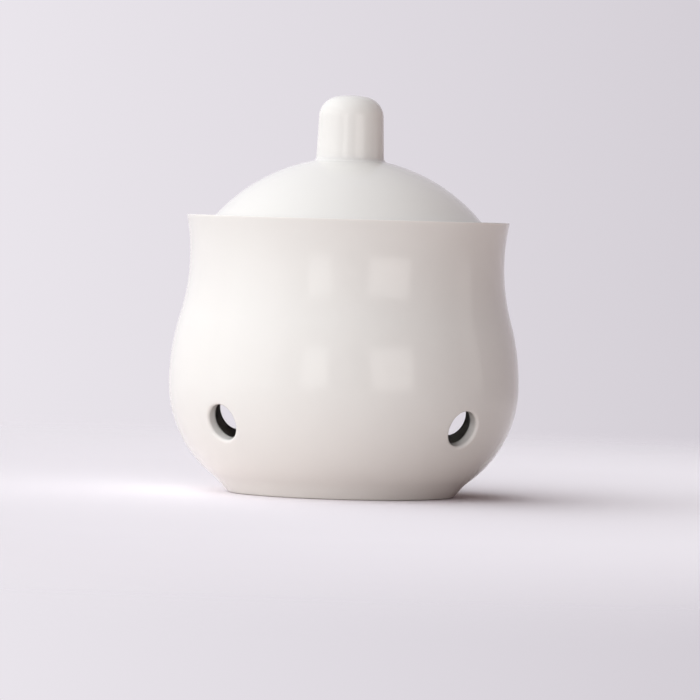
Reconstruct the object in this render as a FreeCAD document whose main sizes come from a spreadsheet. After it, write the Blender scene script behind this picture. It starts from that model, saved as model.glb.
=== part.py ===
import FreeCAD, Part
import math
import os

import Sketcher

# Garlic keeper: a bellied porcelain pot with vents low in its wall, and a domed lid
# that rests on a ledge inside the mouth. Lengths are in millimetres. The origin is
# at the centre of the foot, +Z points up and the front of the pot faces -Y.

SIZES = {
    # Outside of the pot, from the table up
    "foot_radius": 35.9,
    "foot_height": 4.2,
    "belly_radius": 55.7,
    "belly_height": 35.0,
    "belly_lower_curve": 37.3,
    "bend_height": 56.2,
    "neck_inset": 5.7,
    "neck_height": 74.5,
    "lip_flare": 1.4,
    "rim_height": 87.8,
    # Walls of the pot
    "wall": 4.0,
    "rim_wall": 3.8,
    "floor_wall": 4.6,
    "foot_ring_width": 4.4,
    "foot_ring_taper": 1.0,
    "foot_hollow": 2.4,
    # Ledge inside the mouth, which carries the lid
    "ledge_depth": 3.2,
    "ledge_width": 4.2,
    "ledge_edge": 2.4,
    "ledge_slope": 4.4,
    # Vents through the belly
    "vent_radius": 5.8,
    "vent_height": 22.9,
    "vent_count": 4,
    "vent_bearing": 45.0,
    "vent_overcut": 3.0,
    # Lid
    "lid_clearance": 0.9,
    "flange_wall": 2.5,
    "flange_margin": 3.8,
    "dome_curve": 55.9,
    "lid_wall": 3.9,
    "skirt_wall": 3.0,
    "skirt_depth": 6.0,
    # Knob, cast hollow and open to the inside of the dome
    "knob_rise": 19.84,
    "knob_root_radius": 10.8,
    "knob_shoulder_radius": 10.3,
    "knob_shoulder_curve": 6.8,
    "knob_crown_curve": 26.0,
    "knob_bore_radius": 6.6,
    "knob_crown_wall": 4.2,
    # Rounded corners, where one form runs into the next
    "crease_round": 3.0,
    "floor_round": 7.0,
    "dome_foot_round": 1.4,
    "knob_root_round": 1.8,
    "knob_bore_round": 2.0,
    "vent_round": 1.1,
    # Fettled outside edges, with the sharp corner taken off
    "lip_outer_bevel": 0.4,
    "lip_inner_bevel": 0.8,
    "ledge_bevel": 0.6,
    "foot_bevel": 0.7,
    "flange_bevel": 0.6,
    "skirt_bevel": 0.8,
}

# The sketcher's own numbers for the ends of a line or arc, and for its two axes
START, END, CENTRE = range(1, 4)
HORIZONTAL_AXIS, VERTICAL_AXIS = range(-1, -3, -1)
EDGE_TOLERANCE = 0.01

# Rules for the places where the lid and the mouth of the pot meet
NECK = "sizes.belly_radius - sizes.neck_inset"
RIM = f"{NECK} + sizes.lip_flare"
MOUTH = f"{RIM} - sizes.rim_wall"
THROAT = f"{MOUTH} - sizes.ledge_width"
SEAT = "sizes.rim_height - sizes.ledge_depth"
FLANGE = f"{MOUTH} - sizes.lid_clearance"
SKIRT = f"{THROAT} - sizes.lid_clearance"

document = FreeCAD.newDocument("garlic_keeper")


def make_sheet():
    """The spreadsheet that holds the driving dimensions, one named cell each."""
    sheet = document.addObject("Spreadsheet::Sheet", "sizes")
    for row, (name, value) in enumerate(SIZES.items(), start=1):
        sheet.set(f"A{row}", name)
        sheet.set(f"B{row}", str(value))
        sheet.setAlias(f"B{row}", name)
    document.recompute()
    return sheet


def make_body(label):
    body = document.addObject("PartDesign::Body", label)
    body.Label = label
    return body


def origin_plane(body, role):
    return next(item for item in body.Origin.OriginFeatures if item.Role == role)


def circle_radius_at(centre, curve, height):
    """Distance from the axis of the right-hand side of a circle at a height."""
    return centre[0] + math.sqrt(curve ** 2 - (height - centre[1]) ** 2)


def circle_height_at(centre, curve, radius):
    """Height of the top side of a circle at a distance from the axis."""
    return centre[1] + math.sqrt(curve ** 2 - (radius - centre[0]) ** 2)


def mouth_places():
    """Radii of the neck, rim, mouth and throat, as the rules above give them."""
    neck = SIZES["belly_radius"] - SIZES["neck_inset"]
    rim = neck + SIZES["lip_flare"]
    mouth = rim - SIZES["rim_wall"]
    return neck, rim, mouth, mouth - SIZES["ledge_width"]


class Section:
    """A half section in the XZ plane of a body: x is the radius and y the height."""

    def __init__(self, body, name):
        self.sketch = body.newObject("Sketcher::SketchObject", name)
        self.sketch.AttachmentSupport = (origin_plane(body, "XZ_Plane"), "")
        self.sketch.MapMode = "FlatFace"

    def line(self, start, end, construction=False):
        segment = Part.LineSegment(FreeCAD.Vector(*start, 0), FreeCAD.Vector(*end, 0))
        return self.sketch.addGeometry(segment, construction)

    def arc(self, centre, start, end):
        """An arc that turns anticlockwise about its centre from start to end."""
        first = math.atan2(start[1] - centre[1], start[0] - centre[0])
        last = math.atan2(end[1] - centre[1], end[0] - centre[0])
        if last < first:
            last += 2 * math.pi
        circle = Part.Circle(FreeCAD.Vector(*centre, 0), FreeCAD.Vector(0, 0, 1), math.dist(centre, start))
        return self.sketch.addGeometry(Part.ArcOfCircle(circle, first, last), False)

    def fix(self, kind, *where):
        self.sketch.addConstraint(Sketcher.Constraint(kind, *where))

    def bind(self, kind, where, value, rule):
        """A dimension that follows a rule written in the cells of the sheet."""
        index = self.sketch.addConstraint(Sketcher.Constraint(kind, *where, value))
        self.sketch.setExpression(f"Constraints[{index}]", rule)

    def radius_from_axis(self, point, rule):
        self.bind("DistanceX", (-1, 1, *point), self.sketch.getPoint(*point).x, rule)

    def height(self, point, rule):
        self.bind("DistanceY", (-1, 1, *point), self.sketch.getPoint(*point).y, rule)

    def curve(self, arc, rule):
        self.bind("Radius", (arc,), self.sketch.Geometry[arc].Radius, rule)

    def join(self, *points):
        """Close the gaps between neighbours, given as pairs of points."""
        for first, second in zip(points[::2], points[1::2]):
            self.fix("Coincident", *first, *second)

    def corner(self, geometry, end):
        """Radius and height of a corner, once the sketch is solved."""
        point = self.sketch.getPoint(geometry, end)
        return point.x, point.y


def revolve(body, section, name):
    solid = body.newObject("PartDesign::Revolution", name)
    solid.Profile = section.sketch
    solid.ReferenceAxis = (section.sketch, ["V_Axis"])
    solid.Angle = 360
    section.sketch.Visibility = False
    document.recompute()
    return solid


def ring_edges(shape, corners):
    """Names of the edges that are rings about the axis at these radii and heights."""
    names = []
    for index, edge in enumerate(shape.Edges, start=1):
        if edge.Degenerated or not isinstance(edge.Curve, Part.Circle):
            continue
        for radius, height in corners:
            near_radius = abs(edge.Curve.Radius - radius) < EDGE_TOLERANCE
            near_height = abs(edge.Curve.Center.z - height) < EDGE_TOLERANCE
            if near_radius and near_height:
                names.append(f"Edge{index}")
    return names


def finish_edges(body, solid, corners, plan):
    """Rounds and bevels on rings of corners, one feature and one size for each group."""
    for size, places in plan.items():
        edges = ring_edges(solid.Shape, [corners[place] for place in places])
        solid = finish_edge(body, solid, size, edges)
    return solid


def finish_edge(body, solid, size, edges):
    """A fillet or chamfer on named edges of a feature, as the name of its size says."""
    if size.endswith("_round"):
        feature = body.newObject("PartDesign::Fillet", f"{size}ed")
        feature.setExpression("Radius", f"sizes.{size}")
    else:
        feature = body.newObject("PartDesign::Chamfer", f"{size}led")
        feature.setExpression("Size", f"sizes.{size}")
    feature.Base = (solid, edges)
    body.Tip = feature
    document.recompute()
    return feature


def pot_section(body):
    """Outline of the pot: tangent arcs outside, and the same arcs one wall further in."""
    belly = (SIZES["belly_radius"], SIZES["belly_height"])
    neck_radius, rim_radius, mouth_radius, throat_radius = mouth_places()
    neck = (neck_radius, SIZES["neck_height"])
    rim = (rim_radius, SIZES["rim_height"])
    wall = SIZES["wall"]

    # The belly and neck arcs touch at the bend, which fixes the size of both.
    inset = belly[0] - neck[0]
    centre_gap = (inset ** 2 + (neck[1] - belly[1]) ** 2) / (2 * inset)
    upper_curve = centre_gap * (SIZES["bend_height"] - belly[1]) / (neck[1] - belly[1])
    neck_curve = centre_gap - upper_curve
    flare_reach = rim[1] - neck[1]
    flare_curve = ((rim[0] - neck[0]) ** 2 + flare_reach ** 2) / (2 * (rim[0] - neck[0]))
    lower = (belly[0] - SIZES["belly_lower_curve"], belly[1])
    upper = (belly[0] - upper_curve, belly[1])
    waist = (neck[0] + neck_curve, neck[1])
    flare = (neck[0] + flare_curve, neck[1])
    reach = (waist[0] - upper[0], waist[1] - upper[1])

    def between(distance):
        share = distance / centre_gap
        return upper[0] + reach[0] * share, upper[1] + reach[1] * share

    bend = between(upper_curve)
    inner_bend = between(upper_curve - wall)
    foot_edge = (SIZES["foot_radius"], 0)
    crease_radius = circle_radius_at(lower, SIZES["belly_lower_curve"], SIZES["foot_height"])
    crease = (crease_radius, SIZES["foot_height"])
    mouth_top = (mouth_radius, rim[1])
    seat_back = (mouth_radius, rim[1] - SIZES["ledge_depth"])
    seat_edge = (throat_radius, seat_back[1])
    throat = (seat_edge[0], seat_edge[1] - SIZES["ledge_edge"])
    ledge_root = (neck[0] - wall, throat[1] - SIZES["ledge_slope"])
    inner_neck = (neck[0] - wall, neck[1])
    inner_belly = (belly[0] - wall, belly[1])
    floor_height = SIZES["foot_hollow"] + SIZES["floor_wall"]
    floor_radius = circle_radius_at(lower, SIZES["belly_lower_curve"] - wall, floor_height)
    floor_edge = (floor_radius, floor_height)
    floor_centre = (0, floor_height)
    hollow_centre = (0, SIZES["foot_hollow"])
    ring_bottom = (foot_edge[0] - SIZES["foot_ring_width"], 0)
    ring_top = (ring_bottom[0] - SIZES["foot_ring_taper"], SIZES["foot_hollow"])

    section = Section(body, "pot_section")
    foot_side = section.line(foot_edge, crease)
    lower_belly = section.arc(lower, crease, belly)
    upper_belly = section.arc(upper, belly, bend)
    waist_arc = section.arc(waist, neck, bend)
    flare_arc = section.arc(flare, rim, neck)
    rim_top = section.line(rim, mouth_top)
    mouth = section.line(mouth_top, seat_back)
    seat = section.line(seat_back, seat_edge)
    ledge_front = section.line(seat_edge, throat)
    ledge_under = section.line(throat, ledge_root)
    inner_wall = section.line(ledge_root, inner_neck)
    inner_waist = section.arc(waist, inner_neck, inner_bend)
    inner_upper = section.arc(upper, inner_belly, inner_bend)
    inner_lower = section.arc(lower, floor_edge, inner_belly)
    floor = section.line(floor_edge, floor_centre)
    axis = section.line(floor_centre, hollow_centre)
    hollow = section.line(hollow_centre, ring_top)
    ring_inside = section.line(ring_top, ring_bottom)
    ring_base = section.line(ring_bottom, foot_edge)

    section.join(
        (foot_side, END), (lower_belly, START), (lower_belly, END), (upper_belly, START),
        (waist_arc, START), (flare_arc, END), (flare_arc, START), (rim_top, START),
        (rim_top, END), (mouth, START), (mouth, END), (seat, START),
        (seat, END), (ledge_front, START), (ledge_front, END), (ledge_under, START),
        (ledge_under, END), (inner_wall, START), (inner_wall, END), (inner_waist, START),
        (inner_lower, START), (floor, START), (floor, END), (axis, START),
        (axis, END), (hollow, START), (hollow, END), (ring_inside, START),
        (ring_inside, END), (ring_base, START), (ring_base, END), (foot_side, START),
    )
    for level in (rim_top, seat, floor, hollow, ring_base):
        section.fix("Horizontal", level)
    for upright in (mouth, ledge_front, inner_wall, axis):
        section.fix("Vertical", upright)
    section.fix("Tangent", upper_belly, END, waist_arc, END)
    section.fix("Tangent", inner_upper, END, inner_waist, END)
    section.fix("Tangent", inner_upper, START, inner_lower, END)
    section.fix("Coincident", inner_lower, CENTRE, lower_belly, CENTRE)
    section.fix("Coincident", inner_upper, CENTRE, upper_belly, CENTRE)
    section.fix("Coincident", inner_waist, CENTRE, waist_arc, CENTRE)
    section.fix("PointOnObject", axis, START, VERTICAL_AXIS)
    section.fix("PointOnObject", foot_side, START, HORIZONTAL_AXIS)

    section.radius_from_axis((foot_side, START), "sizes.foot_radius")
    section.height((foot_side, END), "sizes.foot_height")
    section.radius_from_axis((lower_belly, END), "sizes.belly_radius")
    for centre in (lower_belly, upper_belly):
        section.height((centre, CENTRE), "sizes.belly_height")
    section.height((lower_belly, END), "sizes.belly_height")
    section.curve(lower_belly, "sizes.belly_lower_curve")
    section.height((upper_belly, END), "sizes.bend_height")
    for centre in (waist_arc, flare_arc):
        section.height((centre, CENTRE), "sizes.neck_height")
    section.radius_from_axis((waist_arc, START), NECK)
    section.height((waist_arc, START), "sizes.neck_height")
    section.radius_from_axis((rim_top, START), RIM)
    section.height((rim_top, START), "sizes.rim_height")
    section.radius_from_axis((mouth, START), MOUTH)
    section.height((seat, START), SEAT)
    section.radius_from_axis((seat, END), THROAT)
    section.height((ledge_front, END), f"{SEAT} - sizes.ledge_edge")
    section.height((ledge_under, END), f"{SEAT} - sizes.ledge_edge - sizes.ledge_slope")
    section.radius_from_axis((inner_wall, END), f"{NECK} - sizes.wall")
    section.height((inner_wall, END), "sizes.neck_height")
    section.height((floor, START), "sizes.foot_hollow + sizes.floor_wall")
    section.height((hollow, START), "sizes.foot_hollow")
    section.radius_from_axis((ring_inside, END), "sizes.foot_radius - sizes.foot_ring_width")
    section.radius_from_axis(
        (hollow, END),
        "sizes.foot_radius - sizes.foot_ring_width - sizes.foot_ring_taper",
    )
    document.recompute()
    corners = {
        "lip_outer": section.corner(rim_top, START),
        "lip_inner": section.corner(rim_top, END),
        "ledge": section.corner(seat, END),
        "throat": section.corner(ledge_front, END),
        "foot_outer": section.corner(foot_side, START),
        "foot_inner": section.corner(ring_base, START),
        "crease": section.corner(foot_side, END),
        "floor": section.corner(floor, START),
    }
    return section, corners


def vent_section(body):
    """Half section of one vent: a rectangle on a line square to the belly's wall."""
    lower = (SIZES["belly_radius"] - SIZES["belly_lower_curve"], SIZES["belly_height"])
    drop = (SIZES["vent_height"] - lower[1]) / SIZES["belly_lower_curve"]
    along = (math.sqrt(1 - drop ** 2), drop)
    across = (-along[1], along[0])

    def place(distance, offset):
        return (
            lower[0] + along[0] * distance + across[0] * offset,
            lower[1] + along[1] * distance + across[1] * offset,
        )

    inside = SIZES["belly_lower_curve"] - SIZES["wall"] - SIZES["vent_overcut"]
    outside = SIZES["belly_lower_curve"] + SIZES["vent_overcut"]
    corners = [
        place(inside, 0),
        place(outside, 0),
        place(outside, SIZES["vent_radius"]),
        place(inside, SIZES["vent_radius"]),
    ]
    section = Section(body, "vent_section")
    square_line = section.line(lower, place(SIZES["belly_lower_curve"], 0), construction=True)
    middle = section.line(corners[0], corners[1])
    outer_end = section.line(corners[1], corners[2])
    bore = section.line(corners[2], corners[3])
    inner_end = section.line(corners[3], corners[0])
    section.join(
        (middle, END), (outer_end, START), (outer_end, END), (bore, START),
        (bore, END), (inner_end, START), (inner_end, END), (middle, START),
    )
    section.fix("PointOnObject", middle, START, square_line)
    section.fix("PointOnObject", middle, END, square_line)
    section.fix("Perpendicular", outer_end, square_line)
    section.fix("Perpendicular", inner_end, square_line)
    section.fix("Parallel", bore, square_line)
    section.radius_from_axis((square_line, START), "sizes.belly_radius - sizes.belly_lower_curve")
    section.height((square_line, START), "sizes.belly_height")
    section.height((square_line, END), "sizes.vent_height")
    section.bind("Distance", (square_line,), SIZES["belly_lower_curve"], "sizes.belly_lower_curve")
    section.bind("Distance", (outer_end,), SIZES["vent_radius"], "sizes.vent_radius")
    section.bind(
        "Distance", (square_line, START, middle, START), inside,
        "sizes.belly_lower_curve - sizes.wall - sizes.vent_overcut",
    )
    section.bind(
        "Distance", (square_line, START, middle, END), outside,
        "sizes.belly_lower_curve + sizes.vent_overcut",
    )
    document.recompute()
    return section


def vent_mouths(shape):
    """Names of the curved edges where the vents break through the wall."""
    names = []
    for index, edge in enumerate(shape.Edges, start=1):
        box = edge.BoundBox
        above = box.ZMin > SIZES["vent_height"] - 2 * SIZES["vent_radius"]
        below = box.ZMax < SIZES["vent_height"] + 2 * SIZES["vent_radius"]
        narrow = max(box.XLength, box.YLength) < 3 * SIZES["vent_radius"]
        if above and below and narrow and not isinstance(edge.Curve, Part.Line):
            names.append(f"Edge{index}")
    return names


def make_pot():
    body = make_body("pot")
    section, corners = pot_section(body)
    solid = revolve(body, section, "thrown_pot")
    finish_edges(body, solid, corners, {
        "crease_round": ["crease"],
        "floor_round": ["floor"],
        "lip_outer_bevel": ["lip_outer"],
        "lip_inner_bevel": ["lip_inner"],
        "ledge_bevel": ["ledge", "throat"],
        "foot_bevel": ["foot_outer", "foot_inner"],
    })

    vent = body.newObject("PartDesign::Groove", "vent")
    cut = vent_section(body)
    vent.Profile = cut.sketch
    vent.ReferenceAxis = (cut.sketch, ["Axis0"])
    vent.Angle = 360
    cut.sketch.Visibility = False
    document.recompute()
    vents = body.newObject("PartDesign::PolarPattern", "vents")
    vents.Originals = [vent]
    vents.Axis = (section.sketch, ["V_Axis"])
    vents.Angle = 360
    vents.setExpression("Occurrences", "sizes.vent_count")
    body.Tip = vents
    document.recompute()
    finish_edge(body, vents, "vent_round", vent_mouths(vents.Shape))
    body.Placement = FreeCAD.Placement(
        FreeCAD.Vector(), FreeCAD.Rotation(FreeCAD.Vector(0, 0, 1), SIZES["vent_bearing"])
    )
    body.setExpression("Placement.Rotation.Angle", "sizes.vent_bearing")
    return body


def lid_section(body):
    """Outline of the lid: a spherical dome of even wall, its flange, skirt and knob."""
    seat_height = SIZES["rim_height"] - SIZES["ledge_depth"]
    mouth_radius, throat_radius = mouth_places()[2:]
    flange_radius = mouth_radius - SIZES["lid_clearance"]
    skirt_radius = throat_radius - SIZES["lid_clearance"]
    flange_height = seat_height + SIZES["flange_wall"]
    dome_radius = flange_radius - SIZES["flange_margin"]
    sink = math.sqrt(SIZES["dome_curve"] ** 2 - dome_radius ** 2)
    dome = (0, flange_height - sink)
    inner_curve = SIZES["dome_curve"] - SIZES["lid_wall"]
    skirt_inside = skirt_radius - SIZES["skirt_wall"]

    root_height = circle_height_at(dome, SIZES["dome_curve"], SIZES["knob_root_radius"])
    root = (SIZES["knob_root_radius"], root_height)
    top = (0, dome[1] + SIZES["dome_curve"] + SIZES["knob_rise"])
    crown = (0, top[1] - SIZES["knob_crown_curve"])
    shoulder_radius = SIZES["knob_shoulder_radius"] - SIZES["knob_shoulder_curve"]
    crown_reach = SIZES["knob_crown_curve"] - SIZES["knob_shoulder_curve"]
    shoulder = (shoulder_radius, crown[1] + math.sqrt(crown_reach ** 2 - shoulder_radius ** 2))
    knob_side = (SIZES["knob_shoulder_radius"], shoulder[1])
    share = SIZES["knob_crown_curve"] / crown_reach
    crown_edge = (shoulder[0] * share, crown[1] + (shoulder[1] - crown[1]) * share)
    bore_top = (0, top[1] - SIZES["knob_crown_wall"])
    bore_centre = (0, bore_top[1] - SIZES["knob_bore_radius"])
    bore_side = (SIZES["knob_bore_radius"], bore_centre[1])
    bore_mouth = (bore_side[0], circle_height_at(dome, inner_curve, bore_side[0]))
    skirt_root = (skirt_inside, circle_height_at(dome, inner_curve, skirt_inside))
    skirt_bottom = seat_height - SIZES["skirt_depth"]

    section = Section(body, "lid_section")
    flange_side = section.line((flange_radius, seat_height), (flange_radius, flange_height))
    flange_top = section.line((flange_radius, flange_height), (dome_radius, flange_height))
    dome_arc = section.arc(dome, (dome_radius, flange_height), root)
    knob_wall = section.line(root, knob_side)
    shoulder_arc = section.arc(shoulder, knob_side, crown_edge)
    crown_arc = section.arc(crown, crown_edge, top)
    axis = section.line(top, bore_top)
    bore_end = section.arc(bore_centre, bore_side, bore_top)
    bore_wall = section.line(bore_side, bore_mouth)
    inner_dome = section.arc(dome, skirt_root, bore_mouth)
    skirt_inner = section.line(skirt_root, (skirt_inside, skirt_bottom))
    skirt_base = section.line((skirt_inside, skirt_bottom), (skirt_radius, skirt_bottom))
    skirt_outer = section.line((skirt_radius, skirt_bottom), (skirt_radius, seat_height))
    flange_base = section.line((skirt_radius, seat_height), (flange_radius, seat_height))

    section.join(
        (flange_side, END), (flange_top, START), (flange_top, END), (dome_arc, START),
        (dome_arc, END), (knob_wall, START), (crown_arc, END), (axis, START),
        (axis, END), (bore_end, END), (bore_wall, END), (inner_dome, END),
        (inner_dome, START), (skirt_inner, START), (skirt_inner, END), (skirt_base, START),
        (skirt_base, END), (skirt_outer, START), (skirt_outer, END), (flange_base, START),
        (flange_base, END), (flange_side, START),
    )
    for level in (flange_top, skirt_base, flange_base):
        section.fix("Horizontal", level)
    for upright in (flange_side, axis, bore_wall, skirt_inner, skirt_outer):
        section.fix("Vertical", upright)
    section.fix("Tangent", knob_wall, END, shoulder_arc, START)
    section.fix("Tangent", shoulder_arc, END, crown_arc, START)
    section.fix("Tangent", bore_end, START, bore_wall, START)
    section.fix("Coincident", inner_dome, CENTRE, dome_arc, CENTRE)
    for point in ((dome_arc, CENTRE), (crown_arc, CENTRE), (bore_end, CENTRE), (axis, START)):
        section.fix("PointOnObject", *point, VERTICAL_AXIS)

    section.radius_from_axis((flange_side, START), FLANGE)
    section.height((flange_side, START), SEAT)
    section.height((flange_side, END), f"{SEAT} + sizes.flange_wall")
    section.radius_from_axis((dome_arc, START), f"{FLANGE} - sizes.flange_margin")
    section.curve(dome_arc, "sizes.dome_curve")
    section.radius_from_axis((dome_arc, END), "sizes.knob_root_radius")
    section.radius_from_axis((knob_wall, END), "sizes.knob_shoulder_radius")
    section.curve(shoulder_arc, "sizes.knob_shoulder_curve")
    section.curve(crown_arc, "sizes.knob_crown_curve")
    section.bind(
        "DistanceY", (dome_arc, CENTRE, axis, START), top[1] - dome[1],
        "sizes.dome_curve + sizes.knob_rise",
    )
    section.bind("DistanceY", (axis, END, axis, START), top[1] - bore_top[1], "sizes.knob_crown_wall")
    section.curve(bore_end, "sizes.knob_bore_radius")
    section.curve(inner_dome, "sizes.dome_curve - sizes.lid_wall")
    section.radius_from_axis((skirt_outer, START), SKIRT)
    section.radius_from_axis((skirt_inner, END), f"{SKIRT} - sizes.skirt_wall")
    section.height((skirt_base, START), f"{SEAT} - sizes.skirt_depth")
    document.recompute()
    corners = {
        "flange_top": section.corner(flange_side, END),
        "flange_base": section.corner(flange_side, START),
        "dome_foot": section.corner(dome_arc, START),
        "skirt_outside": section.corner(skirt_base, END),
        "skirt_inside": section.corner(skirt_base, START),
        "knob_root": section.corner(dome_arc, END),
        "bore_mouth": section.corner(bore_wall, END),
    }
    return section, corners


def make_lid():
    body = make_body("lid")
    section, corners = lid_section(body)
    solid = revolve(body, section, "thrown_lid")
    finish_edges(body, solid, corners, {
        "dome_foot_round": ["dome_foot"],
        "knob_root_round": ["knob_root"],
        "knob_bore_round": ["bore_mouth"],
        "flange_bevel": ["flange_top", "flange_base"],
        "skirt_bevel": ["skirt_outside", "skirt_inside"],
    })
    return body


def check(bodies):
    """Stop if any object failed or a piece isn't one sound solid."""
    document.recompute()
    for item in document.Objects:
        if "Invalid" in item.State or "Error" in item.State:
            raise RuntimeError(f"{item.Name} failed: {item.State}")
    for body in bodies:
        if body.Shape.isNull() or not body.Shape.isValid() or len(body.Shape.Solids) != 1:
            raise RuntimeError(f"{body.Label} isn't one sound solid")


def main():
    make_sheet()
    bodies = [make_pot(), make_lid()]
    check(bodies)
    os.makedirs("parts", exist_ok=True)
    for body in bodies:
        body.Shape.exportStep(f"parts/{body.Label}.step")
        box = body.Shape.optimalBoundingBox()
        print(
            f"{body.Label}: {box.XLength:.2f} x {box.YLength:.2f} x {box.ZLength:.2f} mm,"
            f" from z {box.ZMin:.2f}, {body.Shape.Volume / 1000:.1f} cm3"
        )


main()
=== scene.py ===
"""Looks of the garlic keeper: a glazed porcelain pot with four vents, and its domed lid.

Shapes are worked out in millimetres and written to the meshes in metres. The pot and
the lid are each one closed surface turned about the Z axis, and the front faces -Y.
Bearings in the room are in degrees from the camera's side, and grow to its right.
"""

import math

import bmesh
import bpy
import numpy as np
from mathutils import Matrix, Vector


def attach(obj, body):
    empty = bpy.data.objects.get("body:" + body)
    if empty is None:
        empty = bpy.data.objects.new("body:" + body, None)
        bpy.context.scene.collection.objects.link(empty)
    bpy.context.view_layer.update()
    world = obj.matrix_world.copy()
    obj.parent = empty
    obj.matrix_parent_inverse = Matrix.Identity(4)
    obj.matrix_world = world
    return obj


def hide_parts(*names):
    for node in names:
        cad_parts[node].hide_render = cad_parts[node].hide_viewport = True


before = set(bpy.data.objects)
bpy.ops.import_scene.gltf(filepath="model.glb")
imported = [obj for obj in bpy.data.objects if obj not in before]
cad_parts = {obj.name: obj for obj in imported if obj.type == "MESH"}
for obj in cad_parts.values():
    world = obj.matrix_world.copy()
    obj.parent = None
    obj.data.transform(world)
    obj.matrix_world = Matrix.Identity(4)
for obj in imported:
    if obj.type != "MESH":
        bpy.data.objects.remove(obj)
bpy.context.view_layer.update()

MM = 0.001

# The pot, in millimetres, with the same sizes as its solid
FOOT_RADIUS = 35.9
FOOT_HEIGHT = 4.2
FOOT_RING_WIDTH = 4.4
FOOT_RING_TAPER = 1.0
FOOT_HOLLOW = 2.4
BELLY_RADIUS = 55.68
BELLY_HEIGHT = 35.0
BELLY_LOWER_CURVE = 37.3
BEND_HEIGHT = 56.2
NECK_RADIUS = 50.0
NECK_HEIGHT = 74.5
RIM_RADIUS = 51.4
RIM_HEIGHT = 87.8
WALL = 4.0
RIM_WALL = 3.8
FLOOR_HEIGHT = 7.0
LEDGE_DEPTH = 3.2
LEDGE_WIDTH = 4.2
LEDGE_EDGE = 2.4
LEDGE_SLOPE = 4.4
MOUTH_RADIUS = RIM_RADIUS - RIM_WALL
THROAT_RADIUS = MOUTH_RADIUS - LEDGE_WIDTH
SEAT_HEIGHT = RIM_HEIGHT - LEDGE_DEPTH

VENT_RADIUS = 5.8
VENT_HEIGHT = 22.9
VENT_ROUND = 1.1
VENT_BEARINGS = (45, 135, 225, 315)

# The lid
LID_CLEARANCE = 0.9
FLANGE_WALL = 2.5
FLANGE_MARGIN = 3.8
DOME_CURVE = 55.9
LID_WALL = 3.9
SKIRT_WALL = 3.0
SKIRT_DEPTH = 6.0
KNOB_ROOT_RADIUS = 10.8
KNOB_SHOULDER_RADIUS = 10.3
KNOB_SHOULDER_CURVE = 6.8
KNOB_CROWN_CURVE = 26.0
KNOB_RISE = 19.84
KNOB_CROWN_WALL = 4.2
KNOB_BORE_RADIUS = 6.6
FLANGE_RADIUS = MOUTH_RADIUS - LID_CLEARANCE
SKIRT_RADIUS = THROAT_RADIUS - LID_CLEARANCE

# How finely the surfaces are divided
COLUMNS = 224
OUTLINE_STEP = 0.15
ROW_STEP = 1.3
ROWS_PER_RADIAN = 7.0
VENT_HALF_COLUMNS = 8
VENT_HALF_ROWS = 10
VENT_PATCH_RINGS = 6
VENT_ROUND_RINGS = 6
VENT_BORE_RINGS = 3
PAPER_COLUMNS = 96
PAPER_RINGS = 12

# How soft an outline is away from its named corners, in millimetres, and how fast it
# turns where the painted highlight on an outer corner, or the painted shade in an inner
# one, grows strong, in radians per millimetre
PLAIN_SOFTNESS = 0.12
SHARP_TURN = 0.45

# The glaze and the bare clay. Colours are red, green and blue, patterns are in repeats
# per metre, and relief and edges are in millimetres.
GLAZE_FULL = (0.845, 0.832, 0.806)
# Outer corners: painted highlight, lighter and a little warmer where the glaze is thinner
GLAZE_THIN_HIGHLIGHT = (0.885, 0.868, 0.838)
# Greyer: painted shade in inner corners, and the colour of the random glaze clouds
GLAZE_CLOUD_AND_CREASE_SHADE = (0.785, 0.776, 0.757)
GLAZE_CLOUDS = 38.0
CLOUD_START = 0.35
CLOUD_SHARE = 0.35
GLAZE_SMEARS = 90.0
GLAZE_ROUGHNESS = 0.09
SMEAR_ROUGHNESS = 0.06
GLAZE_SWELL = 26.0
GLAZE_DIMPLES = 210.0
DIMPLE_SHARE = 0.035
GLAZE_RELIEF = 0.45
GLAZE_IOR = 1.55
GLAZE_LINE_WANDER = 0.6
GLAZE_LINE_PATTERN = 160.0
GLAZE_LINE_EDGES = (0.15, 0.2)
CLAY = (0.78, 0.74, 0.68)
CLAY_SPECK = (0.56, 0.50, 0.43)
CLAY_BLOTCHES = 420.0
BLOTCH_START = 0.58
BLOTCH_CONTRAST = 2.2
CLAY_GRAIN = 1400.0
CLAY_RELIEF_SHARE = 0.12
CLAY_ROUGHNESS = 0.75

# The camera, as the photograph's perspective gives it, with its place and its aim in
# millimetres and its clip distances in metres
CAMERA_DISTANCE = 1750.0
CAMERA_HEIGHT = 88.0
AIM_ACROSS = 1.7
AIM_HEIGHT = 46.0
ROLL = math.radians(1.65)
PHOTO_SIZE = 700
FOCAL_PIXELS = 5500.0
SENSOR = 36.0
CLIP_DISTANCES = (0.05, 20.0)

# The room. Colours are brightness for red, green and blue, where 1 is white. Distances
# are in metres.
KEY_BEARING_AND_RISE = (-79.0, 3.0)
KEY_SOFTNESS = 0.2
KEY_LIGHT = (1.58, 1.60, 1.62)
FILL_LIGHT = (0.05, 0.02, 0.015)
LOW_LEFT = (0.57, 0.53, 0.52)
LOW_RIGHT = (0.68, 0.50, 0.43)
PAPER_BOUNCE = (0.84, 0.76, 0.74)
PAPER_TONE = (0.965, 0.925, 0.975)
PAPER_FADE = (0.22, 0.62)
PAPER_FIRST_RING = 0.05
# The backdrop's pale colour, with painted shade that darkens it toward the right
BACKDROP_LEFT = (0.82, 0.785, 0.835)
BACKDROP_SHADED_RIGHT = (0.66, 0.625, 0.675)
BACKDROP_SPREAD = 0.064
HORIZON_SOFTNESS = 0.05
WINDOW_DISTANCE = 2.2


# ---------------------------------------------------------------- outlines

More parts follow.
